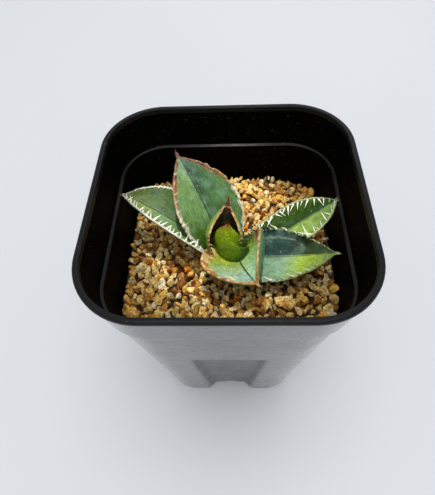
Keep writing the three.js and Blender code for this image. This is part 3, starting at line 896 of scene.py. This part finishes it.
def leaf_skin(name, bloom, crease):
    """Waxy leaf skin: its own painted colour, with fine lengthwise veins, a cloudy pale bloom, painted shade
    in a dark line along the middle crease, pores and a few corky flecks."""
    material, tree, shader = finish(name, Specular_IOR_Level=0.32, IOR=1.45)
    rough, fleck = 0.45, 0.7
    skin = node_in(tree, "ShaderNodeAttribute", attribute_name="skin")
    flow = node_in(tree, "ShaderNodeUVMap", uv_map="blade").outputs[0]
    lengthwise = node_in(tree, "ShaderNodeMapping", {"Vector": flow, "Scale": (90, 7, 1)}).outputs[0]
    veins = grain(tree, lengthwise, 1.0, 4, 0.65)
    coords = place_coords(tree)
    clouds = grain(tree, coords, 0.22, 5, 0.6)
    fine = grain(tree, coords, 1.6, 4, 0.7)
    blotches = grain(tree, place_coords(tree, (1, 1, 1.03)), 0.5, 3, 0.6)
    colour = brighter(tree, skin.outputs["Color"], between(tree, veins, 0.3, 0.7, 0.4, 0.86))
    colour = brighter(tree, colour, between(tree, fine, 0.32, 0.7, 0.76, 1.22))
    colour = brighter(tree, colour, between(tree, blotches, 0.32, 0.68, 0.8, 1.14))
    wax = maths(tree, "MULTIPLY", between(tree, clouds, 0.42, 0.72, 0, bloom), skin.outputs["Alpha"])
    colour = tint(tree, wax, colour, rgb(150, 186, 166))
    across = node_in(tree, "ShaderNodeSeparateXYZ", {0: flow}).outputs[0]
    middle = maths(tree, "ABSOLUTE", maths(tree, "SUBTRACT", across, 0.5), 0)
    # Painted shade: a dark line down the crease in the middle of the face.
    colour = tint(tree, between(tree, middle, 0.016, 0.004, 0, crease), colour, rgb(20, 38, 22))
    flecks = between(tree, grain(tree, coords, 1.15, 2, 0.5), 0.71, 0.745, 0, fleck)
    pores = grain(tree, place_coords(tree, (1, 1, 1.02)), 0.95, 2, 0.5)
    colour = tint(tree, flecks, colour, rgb(205, 205, 170))
    colour = tint(tree, between(tree, pores, 0.28, 0.25, 0, 0.55 * fleck), colour, rgb(40, 44, 24))
    tree.links.new(colour, shader.inputs["Base Color"])
    tree.links.new(between(tree, clouds, 0.3, 0.7, rough, rough + 0.14), shader.inputs["Roughness"])
    relief(tree, shader, [(veins, 0.05), (fine, 0.035), (flecks, 0.05)])
    return material


def grow_leaf(node, slot, paint, bloom, horn_colours, reach=0.25, **leaf):
    """One leaf: its blade with its spine, painted along its own coordinates, and its teeth."""
    points, faces, plains, skin = blade(leaf)
    mesh = mesh_of(node + "_skin", points, faces)
    outward(mesh)
    settle(mesh, plains, node, reach)
    colours = paint(*(skin[name] for name in ("along", "side", "edge", "back")))
    colours = over(colours, leaf["spine_tone"], smooth(skin["spine"] * 6))
    painted = mesh.attributes.new("skin", "FLOAT_COLOR", "POINT")
    painted.data.foreach_set("color", np.hstack([colours, smooth(skin["along"][:, None] * 2.2)]).ravel())
    flow = mesh.uv_layers.new(name="blade")
    corners = np.array([c.vertex_index for c in mesh.loops])
    flow.data.foreach_set("uv", np.stack([skin["side"][corners] / 2 + 0.5 + skin["back"][corners],
                                          skin["along"][corners] + 0.2 * skin["spine"][corners]], 1).ravel())
    mesh.shade_smooth()
    mesh.materials.append(leaf_skin(node + "_skin", bloom, leaf["crease"]))
    horn_material = horn(node + "_teeth", *horn_colours)
    teeth = teeth_of(node, leaf, horn_material)
    work = bmesh.new()
    work.from_mesh(mesh)
    count = len(work.faces)
    work.from_mesh(teeth)
    work.faces.ensure_lookup_table()
    for face in work.faces[count:]:
        face.material_index = 1
    work.to_mesh(mesh)
    work.free()
    mesh.materials.append(horn_material)
    bpy.data.meshes.remove(teeth)
    piece = piece_of(node + "_grown", mesh)
    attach(piece, "root")
    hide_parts(node)


def paint_centre(u, s, e, back):
    colour = run(u, (0, 66, 100, 4), (0.4, 128, 164, 6), (0.8, 164, 190, 12), (1, 150, 110, 20))
    colour = over(colour, rgb(48, 88, 10), smooth(s * 1.5) * 0.8)
    colour = over(colour, rgb(206, 190, 70), smooth(1.4 - e / 0.8) * 0.75)
    return over(colour, rgb(172, 104, 34), smooth((u - 0.72) * 5) * smooth(1.5 - e / 1.6))


grow_leaf(
    "leaf_centre", "leaf_yellow_green", paint_centre, bloom=0.03,
    horn_colours=(rgb(226, 216, 120), rgb(244, 236, 180)), reach=3,
    foot=(1.3, -4.9, 5.8), heading=-72, turn=-14, rise=(90, 124), length=16.6, roll=(-1, -6),
    half_width=(6.6, 8.2), fold=(6, 16), curl=(30, 56), widest=0.5, foot_share=0.75, taper=(3.6, 1.9),
    thickness=1.8, spine=dict(length=1.2, heading=117, rise=40), spine_tone=rgb(150, 92, 40), crease=0,
    seed=100, fray=0.06, knob=0.15, lip=0.05, band=(0.8, 0.8),
    teeth=((0.25, 0.85, 1.6, 1.0), (0.2, 0.9, 1.5, 1.3)), tooth_lean=(-0.5, 0.5), tooth_out=0.9,
    tooth_girth=0.13, tooth_hook=0.3)

# ---- Inner leaf ----
# It is rolled round the centre leaf. Its face is dark and bruised brown where it was pressed, and a
# corky band runs up each margin into an orange-red spine.


def paint_inner(u, s, e, back):
    colour = run(u, (0, 80, 104, 36), (0.4, 42, 62, 28), (0.8, 34, 48, 24), (1, 90, 60, 30))
    bruise = smooth(wobble(u + 0.13 * s, 231, 13) * 1.6) * smooth(e / 2)
    colour = over(colour, rgb(110, 62, 30), bruise * 0.7)
    outer = run(u, (0, 140, 170, 30), (0.5, 118, 156, 50), (0.9, 134, 156, 70), (1, 150, 110, 60))
    colour = either(back > 0.5, outer, colour)
    band = smooth(1.6 - e / 1.1) * (back < 0.75)
    tan = run(u, (0, 216, 206, 60), (0.3, 216, 130, 24), (0.5, 150, 92, 30),
              (0.7, 226, 186, 116), (0.9, 214, 130, 60), (1, 196, 84, 30))
    cork = over(tan, rgb(246, 206, 160), smooth(wobble(u, 234, 26) * 2) * 0.7)
    colour = over(colour, cork, band)
    return over(colour, rgb(78, 44, 22), smooth(wobble(u, 233, 30) * 2 - 0.5) * band * 0.8)


grow_leaf(
    "leaf_inner", "leaf_young", paint_inner, bloom=0.03,
    horn_colours=(rgb(226, 206, 130), rgb(240, 226, 176)), reach=1.6,
    foot=(-2.2, 1.4, 4.6), heading=84, turn=-15, rise=(70, 69), length=17.6, roll=(-1, 4),
    half_width=(12.2, 9.6), fold=(21, 4), curl=(100, 76), widest=0.52, foot_share=0.7, taper=(2, 2),
    thickness=1.8, spine=dict(length=3.8, heading=75, rise=76), spine_tone=rgb(150, 62, 30), crease=0,
    seed=200, fray=0.16, knob=0.12, lip=0.25, band=(1.8, 2.0),
    teeth=((0.12, 0.5, 1.5, 1.3), (0.3, 0.6, 1.8, 1.1)), tooth_lean=(-0.6, 0.4), tooth_out=0.8,
    tooth_girth=0.14, tooth_hook=0.4)

# ---- Front leaf ----
# Short and very broad, cupped towards the viewer, pale blue-green, with a wide tan corky margin and
# a toothmark left by the leaf that once lay against it.


def paint_front(u, s, e, back):
    # Painted light and shade: the right half is painted lighter, the left half darker.
    right = run(u, (0, 150, 196, 50), (0.3, 172, 218, 130), (0.7, 190, 234, 184), (1, 180, 222, 150))
    left = run(u, (0, 160, 184, 40), (0.35, 164, 188, 88), (0.7, 170, 202, 178), (1, 160, 194, 150))
    colour = either(s > 0, right, left)
    colour = over(colour, rgb(190, 200, 44), smooth((0.4 - u) * 5) * smooth(-s * 2))
    colour = over(colour, rgb(166, 176, 36), smooth((-s - 0.5) * 4) * smooth((0.6 - u) * 4) * 0.8)
    colour = either(back > 0.5, run(u, (0, 96, 140, 60), (1, 104, 150, 112)), colour)
    width = 3.7 + 1.7 * wobble(u, 331, 24)
    band = smooth((width - e) / 0.5) * (back < 0.75) * smooth(u * 6)
    cork = run(wobble(u + 0.02 * s, 333, 40) * 0.5 + 0.5, (0, 140, 74, 20), (0.35, 214, 140, 58),
               (0.7, 246, 198, 120), (1, 255, 236, 190))
    colour = over(colour, cork, band)
    scar = smooth(1.4 - np.abs(s + 0.5) / 0.08) * (back < 0.5)
    scar = scar * smooth((u - 0.62) * 14) * smooth((0.82 - u) * 14)
    return over(colour, rgb(255, 232, 190), scar)


grow_leaf(
    "leaf_front", "leaf_pale_blue", paint_front, bloom=0.15,
    horn_colours=(rgb(214, 170, 110), rgb(230, 208, 160)), reach=1.2,
    foot=(2.3, -1.2, 3.2), heading=-80, turn=16, rise=(29, 33), length=22.8, roll=(-2, 16),
    half_width=(16.2, 15.6), fold=(18, 9), curl=(71, 49), widest=0.48, foot_share=0.61, taper=(2.8, 2.2),
    thickness=3, spine=dict(length=2.1, heading=-53, rise=25), spine_tone=rgb(206, 160, 96), crease=0.9,
    seed=300, fray=0.16, knob=0.1, lip=0.3, band=(1.8, 1.8),
    teeth=((0.1, 0.3, 2.2, 1.6), (0.08, 0.4, 3.2, 1.5)), tooth_lean=(-0.5, 0.5), tooth_out=0.9,
    tooth_girth=0.15, tooth_hook=0.4)

# ---- Back leaf ----
# The tallest, standing up behind the others: deep blue-green either side of a sharp crease, greener at its
# foot, with reddish-brown cork round the tip and a cream, wavy, toothed left margin. Painted light and shade
# make its left half lighter than its right, darken the right half beside the crease and darken its foot as a
# painted shadow.


def paint_back(u, s, e, back):
    # Painted light and shade: the left half is painted lighter than the right, and both darken to the foot as
    # a painted shadow.
    left = run(u, (0, 40, 62, 2), (0.25, 76, 110, 8), (0.42, 112, 152, 70), (0.6, 128, 168, 98),
               (1, 142, 172, 112))
    right = run(u, (0, 34, 58, 2), (0.25, 70, 110, 24), (0.55, 84, 128, 68), (1, 68, 102, 80))
    colour = either(s > 0, left, right)
    colour = over(colour, rgb(122, 164, 80), smooth((-s - 0.45) * 2) * (s < 0) * 0.6)
    # Painted shade beside the crease on the right half.
    colour = over(colour, rgb(22, 46, 44), smooth((0.3 + s) * 4) * (s < 0) * smooth((u - 0.3) * 3) * 0.75)
    colour = either(back > 0.5, run(u, (0, 88, 120, 44), (1, 92, 132, 108)), colour)
    ends = smooth((u - 0.5) * 4)
    width = (1.1 + 0.7 * wobble(u, 431, 26)) * (0.75 + 0.6 * ends)
    width = width + 0.7 * (s > 0) * smooth((0.55 - u) * 6)
    band = smooth((width - e) / 0.4) * (back < 0.75)
    cork = run(u, (0, 254, 250, 230), (0.45, 250, 242, 210), (0.6, 196, 140, 80), (1, 150, 74, 44))
    colour = over(colour, cork, band)
    return over(colour, rgb(86, 50, 34), smooth(wobble(u, 433, 44) * 2 - 0.6) * band * ends * 0.8)


grow_leaf(
    "leaf_back", "leaf_blue_green", paint_back, bloom=0.25,
    horn_colours=(rgb(246, 238, 204), rgb(226, 176, 116)),
    foot=(-3, 2.1, 2.9), heading=119, turn=8, rise=(48, 32), length=37, roll=(-4, 3),
    half_width=(13.0, 13.0), fold=(17.5, 21), curl=(20, 22), widest=0.43, foot_share=0.63,
    taper=(2.1, 1.9), thickness=3.4, spine=dict(length=3.9, heading=116, rise=48),
    spine_tone=rgb(126, 62, 46), crease=0.75, seed=400, fray=0.3, knob=0.4, lip=0.2, band=(1.3, 1.3),
    teeth=((0.25, 0.9, 2.4, 2.3), (0.3, 0.96, 1.9, 1.6)), tooth_lean=(-0.2, 0.9), tooth_out=0.6,
    tooth_girth=0.2, tooth_hook=0.55)

# ---- Right front leaf ----
# Nearly flat, dark teal on its far half and light on its near half, which is painted shade and painted light,
# going yellow-green to the tip, where its cream spine stands between two long teeth. Pale arcs are the prints
# of younger margins.


def paint_right_front(u, s, e, back):
    # Painted light and shade: the far half is painted dark teal, the near half light.
    far_painted_shade = run(u, (0, 34, 70, 66), (0.5, 34, 70, 62), (0.64, 16, 42, 4), (1, 66, 98, 8))
    near = run(u, (0, 116, 154, 128), (0.5, 142, 178, 134), (0.68, 184, 216, 66), (1, 150, 184, 22))
    colour = either(s > 0, far_painted_shade, near)
    colour = either(back > 0.5, run(u, (0, 80, 112, 70), (1, 104, 136, 66)), colour)
    print_line = np.abs(s - 0.72 + 1.1 * (u - 0.42) ** 2 - 0.02 * wobble(u, 535, 40))
    printed = smooth(1.5 - print_line / 0.03) * (u > 0.2) * (u < 0.62) * (back < 0.5)
    colour = over(colour, rgb(170, 190, 160), printed * 0.5)
    edge_line = smooth((0.5 + 0.2 * wobble(u, 531, 30) - e) / 0.3) * (back < 0.75)
    return over(colour, rgb(206, 206, 150), edge_line * 0.45)


grow_leaf(
    "leaf_right_front", "leaf_teal", paint_right_front, bloom=0.2,
    horn_colours=(rgb(244, 240, 206), rgb(250, 246, 226)),
    foot=(2.4, -1.2, 2), heading=-18.5, turn=15, rise=(21, 17), length=35.5, roll=(2, 5),
    half_width=(10.4, 11.2), fold=(13, 6.5), curl=(18, 13), widest=0.36, foot_share=0.71,
    taper=(1.9, 1.9), thickness=3, spine=dict(length=2.9, heading=-35, rise=27),
    spine_tone=rgb(222, 206, 170), crease=0.6, seed=500, fray=0.08, knob=0.25, lip=0.06, band=(0.8, 0.8),
    teeth=((0.12, 0.97, 1.8, 2.1), (0.35, 0.97, 2.1, 2.4)), tooth_lean=(-0.8, 0.4), tooth_out=0.7,
    tooth_girth=0.18, tooth_hook=0.5)

# ---- Right back leaf ----
# Narrow and deeply folded, mid green with a near half painted lighter and a far half painted darker towards
# the fold, as painted light and shade, and the strongest teeth of all: long white hooks that curl in over the
# face.


def paint_right_back(u, s, e, back):
    # Painted light and shade: the far half darkens towards the fold, the near half is lighter.
    far_painted_shade = run(np.abs(s), (0, 40, 72, 30), (0.5, 74, 112, 26), (1, 116, 152, 44))
    near = run(u, (0, 140, 176, 50), (0.6, 158, 190, 84), (1, 150, 182, 90))
    colour = either(s > 0, far_painted_shade, near)
    colour = either(back > 0.5, run(u, (0, 80, 112, 50), (1, 100, 138, 74)), colour)
    return over(colour, rgb(222, 220, 180), smooth((0.3 - e) / 0.25) * (back < 0.75) * 0.6)


grow_leaf(
    "leaf_right_back", "leaf_mid_green", paint_right_back, bloom=0.1,
    horn_colours=(rgb(250, 248, 224), rgb(253, 252, 240)),
    foot=(4.4, -0.8, 2.6), heading=15, turn=11.5, rise=(24, 23.5), length=38.5, roll=(4, 8),
    half_width=(8.2, 9.5), fold=(33.5, 21.5), curl=(34, 25), widest=0.59, foot_share=0.64,
    taper=(2.05, 2.05), thickness=3.2, spine=dict(length=2.9, heading=20, rise=82),
    spine_tone=rgb(206, 190, 150), crease=0.6, seed=600, fray=0.08, knob=0.4, lip=0.05, band=(0.8, 0.8),
    teeth=((0.2, 0.98, 1.5, 2.5), (0.35, 0.98, 1.6, 2.1)), tooth_lean=(-1.2, 0.7), tooth_out=0.45,
    tooth_girth=0.17, tooth_hook=1.0)

# ---- Left leaf ----
# The oldest and lowest of those that show: dull green, white-toothed on both margins, with a tan
# spine.


def paint_left(u, s, e, back):
    # Painted light and shade: the near half is painted lighter, the far half darker.
    near = run(u, (0, 112, 150, 50), (0.6, 142, 176, 112), (1, 176, 180, 80))
    far_painted_shade = run(u, (0, 62, 92, 36), (0.6, 92, 120, 64), (1, 126, 142, 70))
    colour = either(s > 0, near, far_painted_shade)
    colour = either(back > 0.5, run(u, (0, 70, 94, 50), (1, 96, 124, 84)), colour)
    return over(colour, rgb(250, 246, 222), smooth((0.35 + 0.35 * (s > 0) - e) / 0.25) * (back < 0.75) * 0.85)


grow_leaf(
    "leaf_left", "leaf_dull_green", paint_left, bloom=0.15,
    horn_colours=(rgb(250, 248, 226), rgb(253, 252, 242)),
    foot=(-4.1, 0.7, 1.9), heading=155, turn=5.5, rise=(35, 15), length=40.9, roll=(-2, 4),
    half_width=(10.5, 10.3), fold=(24.5, 24.5), curl=(30, 30), widest=0.52, foot_share=0.71,
    taper=(2.18, 2.18), thickness=3.2, spine=dict(length=2.2, heading=197, rise=20),
    spine_tone=rgb(150, 96, 70), crease=0.6, seed=700, fray=0.08, knob=0.35, lip=0.05, band=(0.8, 0.8),
    teeth=((0.2, 0.98, 1.4, 1.7), (0.3, 0.97, 1.5, 1.4)), tooth_lean=(-0.7, 0.9), tooth_out=0.5,
    tooth_girth=0.22, tooth_hook=0.6)

# ---- Floor and light ----
# A plain pale table in an evenly bright room: a window behind the pot, a broad light overhead, a weak
# fill from the room in front, and a small lamp that lights only the inside of the pot.

floor = piece_of("floor", mesh_of("floor", [(-2500, -2500, 0), (2500, -2500, 0), (2500, 2500, 0),
                                            (-2500, 2500, 0)], [(0, 1, 2, 3)]))
floor_paint, tree, shader = finish("pale_floor", Roughness=0.55)
cloud = grain(tree, place_coords(tree), 0.004, 3)
tree.links.new(tint(tree, cloud, rgb(235, 237, 240), rgb(239, 240, 243)), shader.inputs["Base Color"])
floor.data.materials.append(floor_paint)


def hang(name, kind, place, aim, power):
    """Hangs a lamp at a place, aimed at another."""
    lamp = bpy.data.lights.new(name, kind)
    lamp.energy = power
    light = bpy.data.objects.new(name, lamp)
    bpy.context.scene.collection.objects.link(light)
    light.location = place
    light.rotation_euler = (Vector(aim) - Vector(place)).to_track_quat("-Z", "Y").to_euler()
    return lamp


for name, place, aim, size, power, colour in (
        ("window", (0.2, 1.3, 0.8), (0.0, 0.0, 0.08), 1.3, 2.2, (1.0, 0.99, 0.98)),
        ("overhead", (0.06, 0.0, 1.5), (0, 0, 0.05), 1.0, 6, (1.0, 0.985, 0.96)),
        ("room", (-0.1, -1.3, 1.1), (0, 0, 0.03), 1.5, 2.2, (0.98, 0.99, 1.0))):
    lamp = hang(name, "AREA", place, aim, power)
    lamp.shape, lamp.size, lamp.color = "DISK", size, colour
lit_radius, lamp_distance = 0.0362, 1.1
lamp = hang("reading_lamp", "SPOT", (0.02, 0.1, 1.15), (0.001, 0.006, 0.085), 42)
lamp.shadow_soft_size, lamp.spot_blend = 0.006, 0.2
lamp.spot_size = 2 * math.atan(lit_radius / lamp_distance)
world = bpy.data.worlds.new("room_light")
bpy.context.scene.world = world
world.use_nodes = True
sky = world.node_tree.nodes["Background"].inputs
sky["Color"].default_value, sky["Strength"].default_value = (0.93, 0.96, 1.0, 1), 0.63
bpy.context.scene.view_settings.view_transform = "Standard"
